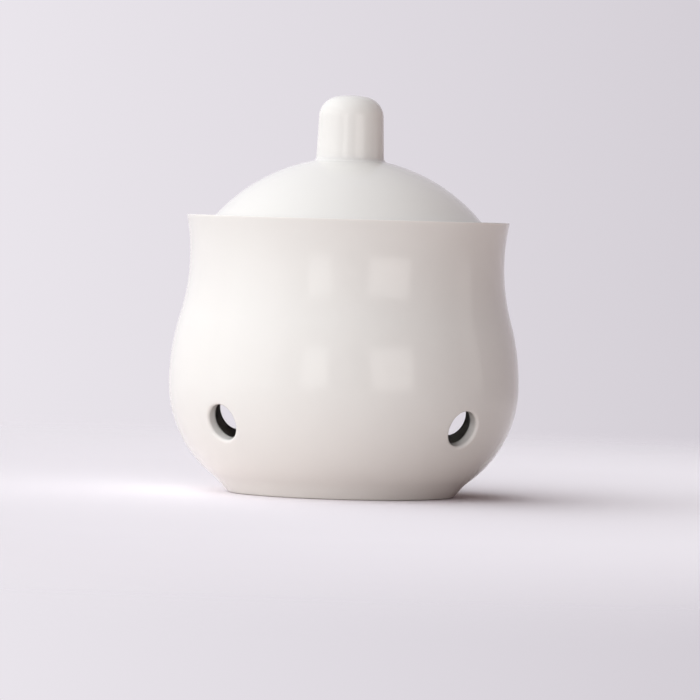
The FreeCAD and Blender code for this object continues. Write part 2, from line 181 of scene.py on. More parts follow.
def arc(centre, start, end, clockwise=False):
    """Points on the circle about centre from start to end: centre + radius (cos a, sin a)."""
    first = math.atan2(start[1] - centre[1], start[0] - centre[0])
    last = math.atan2(end[1] - centre[1], end[0] - centre[0])
    if clockwise and last > first:
        last -= 2 * math.pi
    if not clockwise and last < first:
        last += 2 * math.pi
    radius = math.dist(centre, start)
    count = max(int(radius * abs(last - first) / OUTLINE_STEP), 2)
    angle = np.linspace(first, last, count + 1)
    return np.stack([centre[0] + radius * np.cos(angle), centre[1] + radius * np.sin(angle)], 1)


def straight(start, end):
    """Points on the straight line from start to end."""
    count = max(int(math.dist(start, end) / OUTLINE_STEP), 2)
    share = np.linspace(0, 1, count + 1)[:, None]
    return np.array(start) * (1 - share) + np.array(end) * share


def joined(*stretches):
    """One outline from stretches that each start where the last one ended."""
    return np.concatenate([stretches[0]] + [stretch[1:] for stretch in stretches[1:]])


def lengths_along(points):
    """Distance along a line of points, from its first point."""
    return np.concatenate([[0], np.cumsum(np.linalg.norm(np.diff(points, axis=0), axis=1))])


def soften(points, corners):
    """Round the corners of an outline that starts and ends on the axis.

    Each point becomes the average of its neighbours, weighted by a bell curve along
    the outline. The curve's width is the softness of the nearest named corner, fading
    to almost nothing away from it, so arcs and straights keep their shape.
    """
    along = lengths_along(points)
    width = np.full(len(points), PLAIN_SOFTNESS)
    for place, softness in corners:
        at = along[np.argmin(np.linalg.norm(points - np.array(place), axis=1))]
        reach = np.exp(-(((along - at) / (3.0 * softness)) ** 2))
        width = np.maximum(width, softness * reach)
    mirrored = np.concatenate([points[::-1] * (-1, 1), points, points[::-1] * (-1, 1)])
    span = along[-1]
    place_along = np.concatenate([-along[::-1], along, 2 * span - along[::-1]])
    gap = along[:, None] - place_along[None, :]
    weight = np.exp(-0.5 * (gap / width[:, None]) ** 2)
    weight /= weight.sum(1, keepdims=True)
    smooth = weight @ mirrored
    smooth[0] = points[0]
    smooth[-1] = points[-1]
    return smooth


def heading_turn(points):
    """How fast an outline turns, in radians per millimetre, positive where it turns left."""
    along = lengths_along(points)
    slope = np.gradient(points, along, axis=0)
    heading = np.unwrap(np.arctan2(slope[:, 1], slope[:, 0]))
    return np.gradient(heading, along)


def thin_out(points):
    """Keep rows a step apart on the flat stretches and closer where the outline turns."""
    along = lengths_along(points)
    density = 1 / ROW_STEP + ROWS_PER_RADIAN * np.abs(heading_turn(points))
    steps = (density[1:] + density[:-1]) / 2 * np.diff(along)
    progress = np.concatenate([[0], np.cumsum(steps)])
    wanted = np.linspace(0, progress[-1], int(progress[-1]) + 1)
    at = np.interp(wanted, progress, along)
    return np.stack([np.interp(at, along, points[:, 0]), np.interp(at, along, points[:, 1])], 1)


def pot_outline():
    """Half section of the pot as radius and height, from under the foot up and back in.

    Outside it is the foot's straight side, the two arcs of the belly, and the two arcs
    of the neck, which touch it at the bend and flare to the rim. Inside are the same
    arcs one wall further in, below the ledge that carries the lid.
    """
    inset = BELLY_RADIUS - NECK_RADIUS
    centre_gap = (inset ** 2 + (NECK_HEIGHT - BELLY_HEIGHT) ** 2) / (2 * inset)
    upper_curve = centre_gap * (BEND_HEIGHT - BELLY_HEIGHT) / (NECK_HEIGHT - BELLY_HEIGHT)
    lower = (BELLY_RADIUS - BELLY_LOWER_CURVE, BELLY_HEIGHT)
    upper = (BELLY_RADIUS - upper_curve, BELLY_HEIGHT)
    waist = (NECK_RADIUS + centre_gap - upper_curve, NECK_HEIGHT)
    rise = RIM_HEIGHT - NECK_HEIGHT
    flare_reach = RIM_RADIUS - NECK_RADIUS
    flare = (NECK_RADIUS + (flare_reach ** 2 + rise ** 2) / (2 * flare_reach), NECK_HEIGHT)

    def on_bend(distance):
        share = distance / centre_gap
        return (
            upper[0] + (waist[0] - upper[0]) * share,
            upper[1] + (waist[1] - upper[1]) * share,
        )

    def on_lower(curve, height):
        return lower[0] + math.sqrt(curve ** 2 - (height - lower[1]) ** 2), height

    ring_bottom = (FOOT_RADIUS - FOOT_RING_WIDTH, 0)
    ring_top = (ring_bottom[0] - FOOT_RING_TAPER, FOOT_HOLLOW)
    foot_edge = (FOOT_RADIUS, 0)
    crease = on_lower(BELLY_LOWER_CURVE, FOOT_HEIGHT)
    belly = (BELLY_RADIUS, BELLY_HEIGHT)
    neck = (NECK_RADIUS, NECK_HEIGHT)
    rim = (RIM_RADIUS, RIM_HEIGHT)
    lip = (MOUTH_RADIUS, RIM_HEIGHT)
    seat_back = (MOUTH_RADIUS, SEAT_HEIGHT)
    seat_edge = (THROAT_RADIUS, SEAT_HEIGHT)
    throat = (THROAT_RADIUS, SEAT_HEIGHT - LEDGE_EDGE)
    ledge_root = (NECK_RADIUS - WALL, throat[1] - LEDGE_SLOPE)
    inner_neck = (NECK_RADIUS - WALL, NECK_HEIGHT)
    inner_belly = (BELLY_RADIUS - WALL, BELLY_HEIGHT)
    floor_edge = on_lower(BELLY_LOWER_CURVE - WALL, FLOOR_HEIGHT)
    points = joined(
        straight((0, FOOT_HOLLOW), ring_top),
        straight(ring_top, ring_bottom),
        straight(ring_bottom, foot_edge),
        straight(foot_edge, crease),
        arc(lower, crease, belly),
        arc(upper, belly, on_bend(upper_curve)),
        arc(waist, on_bend(upper_curve), neck, clockwise=True),
        arc(flare, neck, rim, clockwise=True),
        straight(rim, lip),
        straight(lip, seat_back),
        straight(seat_back, seat_edge),
        straight(seat_edge, throat),
        straight(throat, ledge_root),
        straight(ledge_root, inner_neck),
        arc(waist, inner_neck, on_bend(upper_curve - WALL)),
        arc(upper, on_bend(upper_curve - WALL), inner_belly, clockwise=True),
        arc(lower, inner_belly, floor_edge, clockwise=True),
        straight(floor_edge, (0, FLOOR_HEIGHT)),
    )
    return soften(points, [
        (ring_top, 0.9), (ring_bottom, 0.45), (foot_edge, 0.4), (crease, 1.1),
        (rim, 0.28), (lip, 0.55), (seat_back, 0.5), (seat_edge, 0.45),
        (throat, 0.7), (ledge_root, 1.6), (floor_edge, 2.6),
    ])


def lid_outline():
    """Half section of the lid as radius and height, from the knob's top out, down and back in.

    The knob's crown and shoulder are arcs that touch, and its side leans in to them.
    The dome is a sphere, its hollow the same sphere one wall further in, and the
    knob's hollow a straight bore with a round end.
    """
    skirt_inside = SKIRT_RADIUS - SKIRT_WALL
    flange_height = SEAT_HEIGHT + FLANGE_WALL
    dome_radius = FLANGE_RADIUS - FLANGE_MARGIN
    dome = (0, flange_height - math.sqrt(DOME_CURVE ** 2 - dome_radius ** 2))
    inner_curve = DOME_CURVE - LID_WALL

    def on_dome(curve, radius):
        return radius, dome[1] + math.sqrt(curve ** 2 - radius ** 2)

    top = (0, dome[1] + DOME_CURVE + KNOB_RISE)
    crown = (0, top[1] - KNOB_CROWN_CURVE)
    shoulder_radius = KNOB_SHOULDER_RADIUS - KNOB_SHOULDER_CURVE
    reach = KNOB_CROWN_CURVE - KNOB_SHOULDER_CURVE
    shoulder = (shoulder_radius, crown[1] + math.sqrt(reach ** 2 - shoulder_radius ** 2))
    share = KNOB_CROWN_CURVE / reach
    crown_edge = (shoulder[0] * share, crown[1] + (shoulder[1] - crown[1]) * share)
    knob_side = (KNOB_SHOULDER_RADIUS, shoulder[1])
    root = on_dome(DOME_CURVE, KNOB_ROOT_RADIUS)
    dome_foot = (dome_radius, flange_height)
    flange_top = (FLANGE_RADIUS, flange_height)
    flange_base = (FLANGE_RADIUS, SEAT_HEIGHT)
    skirt_top = (SKIRT_RADIUS, SEAT_HEIGHT)
    skirt_outside = (SKIRT_RADIUS, SEAT_HEIGHT - SKIRT_DEPTH)
    skirt_inner = (skirt_inside, SEAT_HEIGHT - SKIRT_DEPTH)
    skirt_root = on_dome(inner_curve, skirt_inside)
    bore_mouth = on_dome(inner_curve, KNOB_BORE_RADIUS)
    bore_top = (0, top[1] - KNOB_CROWN_WALL)
    bore_centre = (0, bore_top[1] - KNOB_BORE_RADIUS)
    bore_side = (KNOB_BORE_RADIUS, bore_centre[1])
    points = joined(
        arc(crown, top, crown_edge, clockwise=True),
        arc(shoulder, crown_edge, knob_side, clockwise=True),
        straight(knob_side, root),
        arc(dome, root, dome_foot, clockwise=True),
        straight(dome_foot, flange_top),
        straight(flange_top, flange_base),
        straight(flange_base, skirt_top),
        straight(skirt_top, skirt_outside),
        straight(skirt_outside, skirt_inner),
        straight(skirt_inner, skirt_root),
        arc(dome, skirt_root, bore_mouth),
        straight(bore_mouth, bore_side),
        arc(bore_centre, bore_side, bore_top),
    )
    return soften(points, [
        (root, 0.8), (dome_foot, 0.7), (flange_top, 0.4), (flange_base, 0.35),
        (skirt_top, 0.3), (skirt_outside, 0.6), (skirt_inner, 0.6), (skirt_root, 1.4),
        (bore_mouth, 0.9),
    ])


# ---------------------------------------------------------------- turned surfaces

def turned_points(outline, angle, row):
    """Point (r cos a, r sin a, z) at an angle and a row of the outline, which may be a fraction."""
    rows = np.arange(len(outline))
    radius = np.interp(row, rows, outline[:, 0])
    height = np.interp(row, rows, outline[:, 1])
    return np.stack([radius * np.cos(angle), radius * np.sin(angle), height], -1)


def turned_grid(outline):
    """Vertices of an outline turned about Z, the two on the axis last, and their numbers."""
    angle = np.arange(COLUMNS) * 2 * math.pi / COLUMNS
    rows = np.arange(1, len(outline) - 1)
    grid = turned_points(outline, angle[None, :], rows[:, None] + 0 * angle[None, :])
    poles = [[0, 0, outline[0, 1]], [0, 0, outline[-1, 1]]]
    index = np.arange(len(rows) * COLUMNS).reshape(len(rows), COLUMNS)
    return np.concatenate([grid.reshape(-1, 3), poles]), index


def ring_quads(first, second):
    """Quads between two closed rings of vertex numbers of the same length."""
    corners = [first, np.roll(first, -1, -1), np.roll(second, -1, -1), second]
    return np.stack(corners, -1).reshape(-1, 4)


def fans(index):
    """Triangles that close both ends of a turned surface on the axis."""
    first_pole = index.size
    start, end = index[0], index[-1]
    opening = np.stack([np.full(COLUMNS, first_pole), np.roll(start, -1), start], -1)
    closing = np.stack([np.full(COLUMNS, first_pole + 1), end, np.roll(end, -1)], -1)
    return np.concatenate([opening, closing])


def edge_values(outline, outward):
    """How sharply each row of an outline turns: 1 on an outer corner, -1 in an inner one."""
    turn = heading_turn(outline) * outward
    return np.tanh(turn / SHARP_TURN)


def make_piece(name, vertices, quads, triangles, edges):
    """A smooth closed mesh from vertices in millimetres, with the attribute that places painted
    highlight and painted shade on its corners.
    """
    used = np.unique(np.concatenate([quads.ravel(), triangles.ravel()]))
    number = np.zeros(len(vertices), int)
    number[used] = np.arange(len(used))
    mesh = bpy.data.meshes.new(name)
    faces = number[quads].tolist() + number[triangles].tolist()
    mesh.from_pydata((vertices[used] * MM).tolist(), [], faces)
    work = bmesh.new()
    work.from_mesh(mesh)
    bmesh.ops.recalc_face_normals(work, faces=work.faces)
    work.to_mesh(mesh)
    work.free()
    mesh.polygons.foreach_set("use_smooth", np.ones(len(mesh.polygons), bool))
    # Painted highlight on outer corners above 0, painted shade in inner corners below 0
    attribute = mesh.attributes.new("corner_highlight_and_shade", "FLOAT", "POINT")
    attribute.data.foreach_set("value", edges[used].astype(np.float32))
    mesh.update()
    piece = bpy.data.objects.new(name, mesh)
    bpy.context.scene.collection.objects.link(piece)
    return piece


# ---------------------------------------------------------------- vents

def vent_frame(bearing):
    """Centre of the belly's lower arc, and the vent's own directions: along, across and up."""
    turn = math.radians(bearing)
    drop = (VENT_HEIGHT - BELLY_HEIGHT) / BELLY_LOWER_CURVE
    outward = np.array([math.cos(turn), math.sin(turn), 0])
    centre = outward * (BELLY_RADIUS - BELLY_LOWER_CURVE) + np.array([0, 0, BELLY_HEIGHT])
    along = outward * math.sqrt(1 - drop ** 2) + np.array([0, 0, drop])
    across = np.array([-math.sin(turn), math.cos(turn), 0])
    return centre, along, across, np.cross(along, across)


def place_on_wall(outline, bearing, row, across_by, up_by):
    """Angle and row of the wall point that lies across_by and up_by from the vent's middle line.

    Newton's method on both numbers at once, with slopes taken over small steps.
    """
    centre, _, across, up = vent_frame(bearing)
    angle = np.full(across_by.shape, math.radians(bearing))
    row = np.full(across_by.shape, float(row))

    def miss(at_angle, at_row):
        offset = turned_points(outline, at_angle, at_row) - centre
        return offset @ across - across_by, offset @ up - up_by

    turn_step, row_step = 1e-4, 0.05
    for _ in range(12):
        miss_a, miss_u = miss(angle, row)
        turned_a, turned_u = miss(angle + turn_step, row)
        moved_a, moved_u = miss(angle, row + row_step)
        a_turn, u_turn = (turned_a - miss_a) / turn_step, (turned_u - miss_u) / turn_step
        a_row, u_row = (moved_a - miss_a) / row_step, (moved_u - miss_u) / row_step
        scale = a_turn * u_row - a_row * u_turn
        angle = angle - (miss_a * u_row - miss_u * a_row) / scale
        row = row - (miss_u * a_turn - miss_a * u_turn) / scale
    return angle, row


def vent_window(index, bearing, middle_row, outside):
    """The square of the grid that a vent replaces: its border's numbers, angles and rows.

    The border runs along the bottom first, then round, so outer and inner borders match.
    The last item is the block of quads inside it, as two slices' ends.
    """
    column = round(bearing / 360 * COLUMNS)
    columns = np.arange(column - VENT_HALF_COLUMNS, column + VENT_HALF_COLUMNS + 1)
    rows = np.arange(middle_row - VENT_HALF_ROWS, middle_row + VENT_HALF_ROWS + 1)
    if not outside:
        rows = rows[::-1]
    sides = [
        (np.full(len(columns) - 1, rows[0]), columns[:-1]),
        (rows[:-1], np.full(len(rows) - 1, columns[-1])),
        (np.full(len(columns) - 1, rows[-1]), columns[:0:-1]),
        (rows[:0:-1], np.full(len(rows) - 1, columns[0])),
    ]
    border_rows = np.concatenate([side[0] for side in sides])
    border_columns = np.concatenate([side[1] for side in sides])
    numbers = index[border_rows - 1, border_columns % COLUMNS]
    block = (rows.min() - 1, rows.max() - 1, columns[0], columns[-1])
    return numbers, border_columns * 2 * math.pi / COLUMNS, border_rows.astype(float), block


def vent_rings(outline, index, bearing, middle_row, outside):
    """Rings of points from the border of the replaced square to the end of the vent's bore.

    On the wall they run in even steps to a circle, then over a quarter round: at angle q
    the ring is VENT_ROUND sin q smaller and sinks VENT_ROUND (1 - cos q) into the wall.
    """
    numbers, angle, row, block = vent_window(index, bearing, middle_row, outside)
    centre, along, across, up = vent_frame(bearing)
    offset = turned_points(outline, angle, row) - centre
    direction = np.arctan2(offset @ up, offset @ across)
    outer = VENT_RADIUS + VENT_ROUND

    def circle(radius):
        return place_on_wall(
            outline, bearing, middle_row, radius * np.cos(direction), radius * np.sin(direction)
        )

    circle_angle, circle_row = circle(outer)
    rings, edges = [], []
    for step in range(1, VENT_PATCH_RINGS + 1):
        share = step / VENT_PATCH_RINGS
        rings.append(turned_points(
            outline, angle + (circle_angle - angle) * share, row + (circle_row - row) * share
        ))
        edges.append(0.0)
    sink = -along if outside else along
    for step in range(1, VENT_ROUND_RINGS + 1):
        quarter = math.pi / 2 * step / VENT_ROUND_RINGS
        wall = turned_points(outline, *circle(outer - VENT_ROUND * math.sin(quarter)))
        rings.append(wall + sink * VENT_ROUND * (1 - math.cos(quarter)))
        # Painted highlight on the vent's rounding, strongest halfway round
        edges.append(math.sin(2 * quarter))
    return numbers, rings, edges, block


def pot_mesh():
    """The pot: the turned outline, with each vent's bore joined into both walls."""
    outline = thin_out(pot_outline())
    vertices, index = turned_grid(outline)
    keep = np.ones((len(index) - 1, COLUMNS), bool)
    rim_row = int(np.argmax(outline[:, 1]))
    outside_row = int(np.argmin(np.abs(outline[:rim_row, 1] - VENT_HEIGHT)))
    centre, along, _, _ = vent_frame(0)
    inside_height = (centre + along * (BELLY_LOWER_CURVE - WALL))[2]
    inside_row = rim_row + int(np.argmin(np.abs(outline[rim_row:, 1] - inside_height)))
    edge_parts = [np.repeat(edge_values(outline, 1)[1:-1], COLUMNS), np.zeros(2)]
    points, quads = [vertices], []
    count = len(vertices)

    def add_ring(ring, edge, last):
        nonlocal count
        numbers = count + np.arange(len(ring))
        count += len(ring)
        points.append(ring)
        edge_parts.append(np.full(len(ring), edge))
        quads.append(ring_quads(last, numbers))
        return numbers

    for bearing in VENT_BEARINGS:
        ends = []
        for middle_row, outside in ((outside_row, True), (inside_row, False)):
            last, rings, edges, block = vent_rings(outline, index, bearing, middle_row, outside)
            low, high, left, right = block
            keep[low:high, np.arange(left, right) % COLUMNS] = False
            for ring, edge in zip(rings, edges):
                last = add_ring(ring, edge, last)
            ends.append((last, rings[-1]))
        (last, outer_ring), (inner_numbers, inner_ring) = ends
        for step in range(1, VENT_BORE_RINGS + 1):
            share = step / (VENT_BORE_RINGS + 1)
            last = add_ring(outer_ring * (1 - share) + inner_ring * share, 0.0, last)
        quads.append(ring_quads(last, inner_numbers))
    wall_quads = ring_quads(index[:-1], index[1:]).reshape(len(index) - 1, COLUMNS, 4)[keep]
    return make_piece(
        "pot_glazed", np.concatenate(points), np.concatenate([wall_quads] + quads),
        fans(index), np.concatenate(edge_parts),
    )


def lid_mesh():
    """The lid: its outline turned about Z."""
    outline = thin_out(lid_outline())
    vertices, index = turned_grid(outline)
    edges = np.concatenate([np.repeat(edge_values(outline, -1)[1:-1], COLUMNS), np.zeros(2)])
    return make_piece("lid_glazed", vertices, ring_quads(index[:-1], index[1:]), fans(index), edges)


# ---------------------------------------------------------------- finishes

def link(tree, start, end):
    tree.links.new(start, end)


def math_node(tree, operation, first, second=None, third=None, clamp=False):
    """A Math node's output. A number goes on its socket and a socket is linked to it."""
    node = tree.nodes.new("ShaderNodeMath")
    node.operation = operation
    node.use_clamp = clamp
    for socket, value in zip(node.inputs, (first, second, third)):
        if value is None:
            continue
        if isinstance(value, (int, float)):
            socket.default_value = value
        else:
            link(tree, value, socket)
    return node.outputs[0]


def noise(tree, place, scale, detail, roughness=0.5):
    node = tree.nodes.new("ShaderNodeTexNoise")
    node.inputs["Scale"].default_value = scale
    node.inputs["Detail"].default_value = detail
    node.inputs["Roughness"].default_value = roughness
    link(tree, place, node.inputs["Vector"])
    return node.outputs["Fac"]


def mix_colour(tree, share, first, second):
    """Colour between two sockets, by a share from 0 to 1."""
    node = tree.nodes.new("ShaderNodeMix")
    node.data_type = "RGBA"
    link(tree, share, node.inputs["Factor"])
    link(tree, first, node.inputs[6])
    link(tree, second, node.inputs[7])
    return node.outputs[2]


def new_group(name, inputs, outputs):
    """An empty node group, with its input and output nodes and sockets (name, kind, value)."""
    group = bpy.data.node_groups.new(name, "ShaderNodeTree")
    for socket_name, kind, value in inputs:
        socket = group.interface.new_socket(socket_name, in_out="INPUT", socket_type=kind)
        if value is not None:
            socket.default_value = value
    for socket_name, kind in outputs:
        group.interface.new_socket(socket_name, in_out="OUTPUT", socket_type=kind)
    return group, group.nodes.new("NodeGroupInput"), group.nodes.new("NodeGroupOutput")


def glaze_group():
    """Clear glaze over a pale body, with a painted highlight on outer corners and painted
    shade in inner ones.

    Outer corners are lighter and a little warmer, a painted highlight where the glaze is
    thinner over the warmer body, and inner corners are a little greyer, painted shade where
    the glaze gathers. Grey clouds of the same colour drift over it at random. The glaze
    surface also rises and falls by a few hundredths of a millimetre.
    glaze surface also rises and falls by a few hundredths of a millimetre.
    """
    group, given, result = new_group(
        "glaze_coat",
        [
            ("Place", "NodeSocketVector", None),
            ("Edge", "NodeSocketFloat", 0.0),
            ("Full", "NodeSocketColor", (0.8, 0.8, 0.8, 1)),
            ("Thin_highlight", "NodeSocketColor", (0.8, 0.8, 0.8, 1)),
            ("Cloud_and_crease_shade", "NodeSocketColor", (0.8, 0.8, 0.8, 1)),
        ],
        [
            ("Colour", "NodeSocketColor"),
            ("Roughness", "NodeSocketFloat"),
            ("Height", "NodeSocketFloat"),
        ],
    )
    place = given.outputs["Place"]
    # Outer corners and the vents' rounding: painted highlight
    thin_highlight = math_node(group, "MULTIPLY", given.outputs["Edge"], 1.0, clamp=True)
    # Inner corners: painted shade, greyer where the glaze gathers
    crease_shade = math_node(group, "MULTIPLY", given.outputs["Edge"], -1.0, clamp=True)
    cloud = math_node(group, "SUBTRACT", noise(group, place, GLAZE_CLOUDS, 2.0), CLOUD_START)
    drift = math_node(group, "MULTIPLY", cloud, CLOUD_SHARE, clamp=True)
    tone = mix_colour(group, thin_highlight, given.outputs["Full"], given.outputs["Thin_highlight"])
    tone = mix_colour(group, crease_shade, tone, given.outputs["Cloud_and_crease_shade"])
    tone = mix_colour(group, drift, tone, given.outputs["Cloud_and_crease_shade"])
    link(group, tone, result.inputs["Colour"])

    smears = noise(group, place, GLAZE_SMEARS, 3.0)
    gloss = math_node(group, "MULTIPLY_ADD", smears, SMEAR_ROUGHNESS, GLAZE_ROUGHNESS)
    link(group, gloss, result.inputs["Roughness"])

    swell = noise(group, place, GLAZE_SWELL, 0.0)
    dimple = noise(group, place, GLAZE_DIMPLES, 1.0)
    height = math_node(group, "ADD", swell, math_node(group, "MULTIPLY", dimple, DIMPLE_SHARE))
    link(group, height, result.inputs["Height"])
    return group


def bare_clay_group():
    """Bare fired clay: fine grain in the surface, and a few darker specks."""
    group, given, result = new_group(
        "bare_clay",
        [
            ("Place", "NodeSocketVector", None),
            ("Clay", "NodeSocketColor", (0.8, 0.8, 0.8, 1)),
            ("Speck", "NodeSocketColor", (0.5, 0.5, 0.5, 1)),
        ],
        [("Colour", "NodeSocketColor"), ("Height", "NodeSocketFloat")],
    )
    place = given.outputs["Place"]
    blotch = math_node(group, "SUBTRACT", noise(group, place, CLAY_BLOTCHES, 2.0), BLOTCH_START)
    share = math_node(group, "MULTIPLY", blotch, BLOTCH_CONTRAST, clamp=True)
    tone = mix_colour(group, share, given.outputs["Clay"], given.outputs["Speck"])
    link(group, tone, result.inputs["Colour"])
    link(group, noise(group, place, CLAY_GRAIN, 3.0, 0.7), result.inputs["Height"])
    return group


def band(tree, value, middle, half_width, softness):
    """1 where a value is within half_width of the middle, falling to 0 over the softness."""
    away = math_node(tree, "ABSOLUTE", math_node(tree, "SUBTRACT", value, middle))
    inside = math_node(tree, "SUBTRACT", half_width + softness, away)
    return math_node(tree, "DIVIDE", inside, softness, clamp=True)


def wiped_bands(tree, place, bands):
    """Mask of the ring surfaces that the potter wipes clean of glaze.

    Each band is a height with its half width, and a radius with its half width, in
    millimetres. The glaze line wanders by a few tenths of a millimetre.
    """
    axes = tree.nodes.new("ShaderNodeSeparateXYZ")
    link(tree, place, axes.inputs[0])
    squares = [math_node(tree, "MULTIPLY", axes.outputs[i], axes.outputs[i]) for i in (0, 1)]
    radius = math_node(tree, "SQRT", math_node(tree, "ADD", *squares))
    wander = math_node(tree, "SUBTRACT", noise(tree, place, GLAZE_LINE_PATTERN, 1.0), 0.5)
    radius = math_node(tree, "MULTIPLY_ADD", wander, GLAZE_LINE_WANDER * MM, radius)
    edge_up, edge_across = (edge * MM for edge in GLAZE_LINE_EDGES)
    mask = None
    for height, half_height, middle, half_width in bands:
        level = band(tree, axes.outputs[2], height * MM, half_height * MM, edge_up)
        ring = band(tree, radius, middle * MM, half_width * MM, edge_across)
        one = math_node(tree, "MULTIPLY", level, ring)
        mask = one if mask is None else math_node(tree, "MAXIMUM", mask, one)
    return mask


def porcelain(name, bands, glaze, clay):
    """Glazed porcelain with its wiped bands bare, for one piece."""
    material = bpy.data.materials.new(name)
    material.use_nodes = True
    tree = material.node_tree
    shader = tree.nodes["Principled BSDF"]
    place = tree.nodes.new("ShaderNodeTexCoord").outputs["Object"]
    # Where the glaze gets its painted highlight and its painted shade
    edge = tree.nodes.new("ShaderNodeAttribute")
    edge.attribute_name = "corner_highlight_and_shade"
    coat = tree.nodes.new("ShaderNodeGroup")
    coat.node_tree = glaze
    coat.inputs["Full"].default_value = (*GLAZE_FULL, 1)
    coat.inputs["Thin_highlight"].default_value = (*GLAZE_THIN_HIGHLIGHT, 1)
    coat.inputs["Cloud_and_crease_shade"].default_value = (*GLAZE_CLOUD_AND_CREASE_SHADE, 1)
    body = tree.nodes.new("ShaderNodeGroup")
    body.node_tree = clay
    body.inputs["Clay"].default_value = (*CLAY, 1)
    body.inputs["Speck"].default_value = (*CLAY_SPECK, 1)
    link(tree, place, coat.inputs["Place"])
    link(tree, place, body.inputs["Place"])
    link(tree, edge.outputs["Fac"], coat.inputs["Edge"])
    wiped = wiped_bands(tree, place, bands)
    glazed = math_node(tree, "SUBTRACT", 1.0, wiped)

    def blend(first, second):
        """The first value where the piece is glazed and the second where it is bare."""
        bare = math_node(tree, "MULTIPLY", wiped, second)
        return math_node(tree, "MULTIPLY_ADD", glazed, first, bare)

    tone = mix_colour(tree, wiped, coat.outputs["Colour"], body.outputs["Colour"])
    link(tree, tone, shader.inputs["Base Color"])
    link(tree, blend(coat.outputs["Roughness"], CLAY_ROUGHNESS), shader.inputs["Roughness"])
    bump = tree.nodes.new("ShaderNodeBump")
    bump.inputs["Strength"].default_value = 1.0
    bump.inputs["Distance"].default_value = GLAZE_RELIEF * MM
    grain = math_node(tree, "MULTIPLY", body.outputs["Height"], CLAY_RELIEF_SHARE)
    link(tree, blend(coat.outputs["Height"], grain), bump.inputs["Height"])
    link(tree, bump.outputs["Normal"], shader.inputs["Normal"])
    shader.inputs["IOR"].default_value = GLAZE_IOR
    return material


# ---------------------------------------------------------------- room

def make_camera():
    """A level camera in front of the pot, aimed a little down and turned so the pot leans."""
    data = bpy.data.cameras.new("camera")
    data.sensor_width = SENSOR
    data.sensor_height = SENSOR
    data.sensor_fit = "HORIZONTAL"
    data.lens = FOCAL_PIXELS / PHOTO_SIZE * SENSOR
    data.clip_start, data.clip_end = CLIP_DISTANCES
    camera = bpy.data.objects.new("camera", data)
    bpy.context.scene.collection.objects.link(camera)
    pitch = math.atan2(AIM_HEIGHT - CAMERA_HEIGHT, CAMERA_DISTANCE)
    forward = Vector((0, math.cos(pitch), math.sin(pitch)))
    level_right = Vector((1, 0, 0))
    level_up = level_right.cross(forward)
    right = level_right * math.cos(ROLL) + level_up * math.sin(ROLL)
    up = level_up * math.cos(ROLL) - level_right * math.sin(ROLL)
    turn = Matrix((right, up, -forward)).transposed().to_4x4()
    place = Vector((AIM_ACROSS, -CAMERA_DISTANCE, CAMERA_HEIGHT)) * MM
    camera.matrix_world = Matrix.Translation(place) @ turn
    bpy.context.scene.camera = camera


def light_panel(name, bearings, elevations, level, colour, mirrored_only=True):
    """A rectangular light that fills these bearings and elevations, seen from the pot.

    Its level is its brightness: a white card in even light has level 1. Where it is
    mirrored only, the room's own light already holds its share.
    """
    bearing = math.radians(sum(bearings) / 2)
    rise = math.radians(sum(elevations) / 2)
    width = 2 * WINDOW_DISTANCE * math.tan(math.radians(bearings[1] - bearings[0]) / 2)
    height = 2 * WINDOW_DISTANCE * math.tan(math.radians(elevations[1] - elevations[0]) / 2)
    place = Vector((
        math.sin(bearing) * math.cos(rise), -math.cos(bearing) * math.cos(rise), math.sin(rise)
    )) * WINDOW_DISTANCE
    data = bpy.data.lights.new(name, "AREA")
    data.shape = "RECTANGLE"
    data.size, data.size_y = width, height
    data.energy = level * math.pi * width * height
    data.color = colour
    panel = bpy.data.objects.new(name, data)
    panel.location = place + Vector((0, 0, BELLY_HEIGHT * MM))
    panel.rotation_euler = (-place).to_track_quat("-Z", "Y").to_euler()
    panel.visible_camera = False
    panel.visible_diffuse = not mirrored_only
    bpy.context.scene.collection.objects.link(panel)


def seen_directly(tree):
    """1 for rays from the camera, and for those that glaze and glass send on, else 0."""
    path = tree.nodes.new("ShaderNodeLightPath")
    seen = math_node(
        tree, "MAXIMUM", path.outputs["Is Camera Ray"], path.outputs["Is Glossy Ray"]
    )
    return math_node(tree, "MAXIMUM", seen, path.outputs["Is Transmission Ray"])


def ramp(tree, value, low, high, smooth=True):
    """Share from 0 at low to 1 at high, eased at both ends where smooth."""
    node = tree.nodes.new("ShaderNodeMapRange")
    node.interpolation_type = "SMOOTHSTEP" if smooth else "LINEAR"
    link(tree, value, node.inputs["Value"])
    node.inputs["From Min"].default_value = low
    node.inputs["From Max"].default_value = high
    return node.outputs["Result"]


def colour_node(tree, colour):
    node = tree.nodes.new("ShaderNodeRGB")
    node.outputs[0].default_value = (*colour, 1)
    return node.outputs[0]


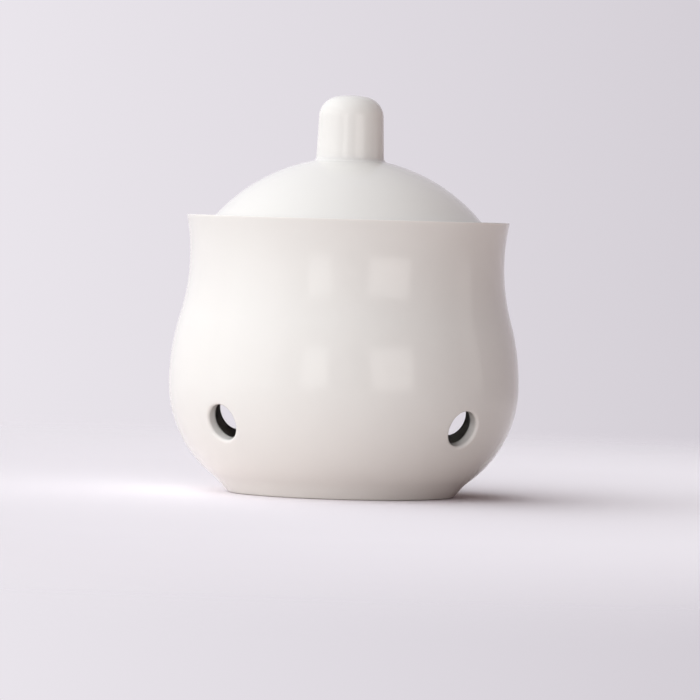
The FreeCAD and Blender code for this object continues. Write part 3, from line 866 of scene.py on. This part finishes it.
def make_paper():
    """Round sheet of pale paper under the pot, which fades into the room further out.

    The points are at distance (cos a, sin a) on rings round the axis, with one in the middle.
    """
    distance = np.linspace(PAPER_FIRST_RING, PAPER_FADE[1], PAPER_RINGS)[:, None]
    angle = np.arange(PAPER_COLUMNS) * 2 * math.pi / PAPER_COLUMNS
    grid = np.stack([distance * np.cos(angle), distance * np.sin(angle), 0 * distance * angle], -1)
    index = np.arange(grid.size // 3).reshape(PAPER_RINGS, PAPER_COLUMNS)
    middle = np.stack([np.full(PAPER_COLUMNS, index.size), index[0], np.roll(index[0], -1)], -1)
    mesh = bpy.data.meshes.new("paper")
    faces = ring_quads(index[:-1], index[1:])[:, ::-1].tolist() + middle.tolist()
    mesh.from_pydata(grid.reshape(-1, 3).tolist() + [[0, 0, 0]], [], faces)
    paper = bpy.data.objects.new("paper", mesh)
    bpy.context.scene.collection.objects.link(paper)

    material = bpy.data.materials.new("pale_paper")
    material.use_nodes = True
    tree = material.node_tree
    shader = tree.nodes["Principled BSDF"]
    tone = mix_colour(
        tree, seen_directly(tree), colour_node(tree, PAPER_BOUNCE), colour_node(tree, PAPER_TONE)
    )
    link(tree, tone, shader.inputs["Base Color"])
    shader.inputs["Roughness"].default_value = 0.95
    shader.inputs["Specular IOR Level"].default_value = 0.0
    place = tree.nodes.new("ShaderNodeTexCoord").outputs["Object"]
    length = tree.nodes.new("ShaderNodeVectorMath")
    length.operation = "LENGTH"
    link(tree, place, length.inputs[0])
    faded = ramp(tree, length.outputs["Value"], *PAPER_FADE)
    clear = tree.nodes.new("ShaderNodeBsdfTransparent")
    sheet = tree.nodes.new("ShaderNodeMixShader")
    link(tree, faded, sheet.inputs[0])
    link(tree, shader.outputs[0], sheet.inputs[1])
    link(tree, clear.outputs[0], sheet.inputs[2])
    link(tree, sheet.outputs[0], tree.nodes["Material Output"].inputs["Surface"])
    mesh.materials.append(material)


def make_room():
    """Even light from the left half of the room, and a weak warm light from the rest.

    The camera and the glaze see a pale backdrop colour instead, with painted shade that
    makes it a little darker to the right.
    """
    world = bpy.data.worlds.new("room")
    world.use_nodes = True
    tree = world.node_tree
    lit = tree.nodes["Background"]
    direction = tree.nodes.new("ShaderNodeTexCoord").outputs["Generated"]
    bearing, rise = (math.radians(angle) for angle in KEY_BEARING_AND_RISE)
    toward = tree.nodes.new("ShaderNodeVectorMath")
    toward.operation = "DOT_PRODUCT"
    link(tree, direction, toward.inputs[0])
    toward.inputs[1].default_value = (
        math.sin(bearing) * math.cos(rise), -math.cos(bearing) * math.cos(rise), math.sin(rise)
    )
    axes = tree.nodes.new("ShaderNodeSeparateXYZ")
    link(tree, direction, axes.inputs[0])
    side = ramp(tree, toward.outputs["Value"], -KEY_SOFTNESS, KEY_SOFTNESS)
    above = mix_colour(tree, side, colour_node(tree, FILL_LIGHT), colour_node(tree, KEY_LIGHT))
    upper = ramp(tree, axes.outputs[2], -HORIZON_SOFTNESS, HORIZON_SOFTNESS)
    below = mix_colour(tree, side, colour_node(tree, LOW_RIGHT), colour_node(tree, LOW_LEFT))
    light = mix_colour(tree, upper, below, above)
    link(tree, light, lit.inputs["Color"])

    shown = tree.nodes.new("ShaderNodeBackground")
    # Painted shade: the backdrop darkens from left to right
    across = ramp(tree, axes.outputs[0], -BACKDROP_SPREAD, BACKDROP_SPREAD, smooth=False)
    tone = mix_colour(
        tree, across, colour_node(tree, BACKDROP_LEFT), colour_node(tree, BACKDROP_SHADED_RIGHT)
    )
    link(tree, tone, shown.inputs["Color"])
    both = tree.nodes.new("ShaderNodeMixShader")
    link(tree, seen_directly(tree), both.inputs[0])
    link(tree, lit.outputs[0], both.inputs[1])
    link(tree, shown.outputs[0], both.inputs[2])
    link(tree, both.outputs[0], tree.nodes["World Output"].inputs["Surface"])
    bpy.context.scene.world = world


def make_windows():
    """Windows that the glaze mirrors: a wide one on the left, two in front and a slit right."""
    light_panel("window_left", (-92, -44), (-2, 26), 0.25, (0.97, 0.985, 1.0))
    light_panel("window_front_left", (-27, -11), (-2, 18), 1.2, (1.0, 0.99, 0.98), False)
    light_panel("window_front_right", (17, 46), (-2, 18), 1.4, (1.0, 0.97, 0.95))
    light_panel("window_right", (89, 102), (-2, 22), 0.4, (1.0, 0.93, 0.9))


def make_keeper():
    """The pot and the lid, each in place of its solid."""
    glaze = glaze_group()
    clay = bare_clay_group()
    ring_middle = FOOT_RADIUS - FOOT_RING_WIDTH / 2
    seat_middle = (MOUTH_RADIUS + THROAT_RADIUS) / 2
    flange_middle = (FLANGE_RADIUS + SKIRT_RADIUS) / 2
    pot_bands = [(0, 0.25, ring_middle, 2.0), (SEAT_HEIGHT, 0.3, seat_middle, 1.8)]
    lid_bands = [(SEAT_HEIGHT, 0.3, flange_middle, 1.8)]
    for make, node, bands in ((pot_mesh, "pot", pot_bands), (lid_mesh, "lid", lid_bands)):
        piece = make()
        piece.data.materials.append(porcelain(f"porcelain_{node}", bands, glaze, clay))
        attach(piece, node)
        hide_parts(node)


make_keeper()
make_paper()
make_room()
make_windows()
make_camera()
bpy.context.scene.view_settings.view_transform = "Standard"
